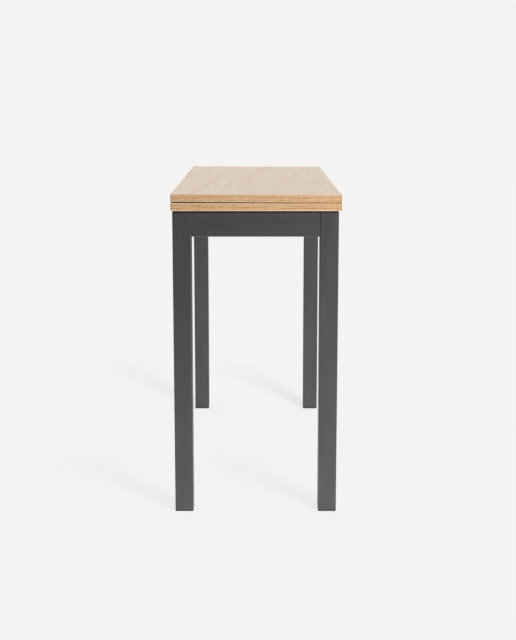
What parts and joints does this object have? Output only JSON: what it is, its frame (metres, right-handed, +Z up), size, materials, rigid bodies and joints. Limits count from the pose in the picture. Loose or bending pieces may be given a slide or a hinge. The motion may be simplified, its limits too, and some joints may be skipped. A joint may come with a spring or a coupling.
{
  "type": "extending console table",
  "caption": "Narrow console table on a square-tube steel frame; its double top slides forward and folds open like a book to twice the depth.",
  "frame": {"origin": "on the floor, under the middle of the frame", "axes": "+X along the table, +Y to the hinged long side (the top slides out and the upper leaf lifts at -Y), +Z up"},
  "size_m": [1.1, 0.4028, 0.7742],
  "materials": {
    "frame_paint": "anthracite fine matt powder coat",
    "oak_decor": "matt pale oak decor, grain along the table",
    "oak_edge": "satin oak edge band, streaked along the edge",
    "cap_plastic": "fine grained black-grey plastic",
    "zinc_steel": "bright zinc plate",
    "channel_aluminium": "mill finish extrusion",
    "shoe_nylon": "natural nylon",
    "glide_plastic": "dark slippery plastic strip",
    "buffer_rubber": "matt black rubber",
    "bumper_clear": "clear soft silicone"
  },
  "bodies": {
    "frame": {"leg_front_left": "frame_paint", "leg_front_right": "frame_paint", "leg_rear_right": "frame_paint", "leg_rear_left": "frame_paint", "foot_cap_front_left": "cap_plastic", "foot_cap_front_right": "cap_plastic", "foot_cap_rear_right": "cap_plastic", "foot_cap_rear_left": "cap_plastic", "leg_cap_front_left": "cap_plastic", "leg_cap_front_right": "cap_plastic", "leg_cap_rear_right": "cap_plastic", "leg_cap_rear_left": "cap_plastic", "corner_bracket_front_left": "frame_paint", "corner_bracket_front_right": "frame_paint", "corner_bracket_rear_right": "frame_paint", "corner_bracket_rear_left": "frame_paint", "leg_bolts": "zinc_steel", "apron_front": "frame_paint", "apron_rear": "frame_paint", "apron_left": "frame_paint", "apron_right": "frame_paint", "cross_bar": "frame_paint", "guide_channel_left": "channel_aluminium", "guide_channel_right": "channel_aluminium", "channel_angles": "zinc_steel", "channel_buffers": "buffer_rubber", "glide_pads": "glide_plastic"},
    "lower_leaf": {"lower_board": "oak_decor", "lower_band_front": "oak_edge", "lower_band_rear": "oak_edge", "lower_band_left": "oak_edge", "lower_band_right": "oak_edge", "lower_hinge_plate_1": "zinc_steel", "lower_hinge_plate_2": "zinc_steel", "lower_hinge_plate_3": "zinc_steel", "slider_plate_left": "zinc_steel", "slider_plate_right": "zinc_steel", "slider_shoe_left": "shoe_nylon", "slider_shoe_right": "shoe_nylon", "hinge_pin_1": "zinc_steel", "hinge_pin_2": "zinc_steel", "hinge_pin_3": "zinc_steel", "bumpers": "bumper_clear"},
    "upper_leaf": {"upper_board": "oak_decor", "upper_band_front": "oak_edge", "upper_band_rear": "oak_edge", "upper_band_left": "oak_edge", "upper_band_right": "oak_edge", "upper_hinge_plate_1": "zinc_steel", "upper_hinge_plate_2": "zinc_steel", "upper_hinge_plate_3": "zinc_steel"}
  },
  "joints": [
    {"name": "top_slide", "type": "slide", "parent": "frame", "child": "lower_leaf", "axis": [0, -1, 0], "range_m": [0, 0.20145]},
    {"name": "leaf_fold", "type": "hinge", "parent": "lower_leaf", "child": "upper_leaf", "pos_m": [0, 0.20145, 0.75375], "axis": [-1, 0, 0], "range_deg": [0, 179.76]}
  ]
}
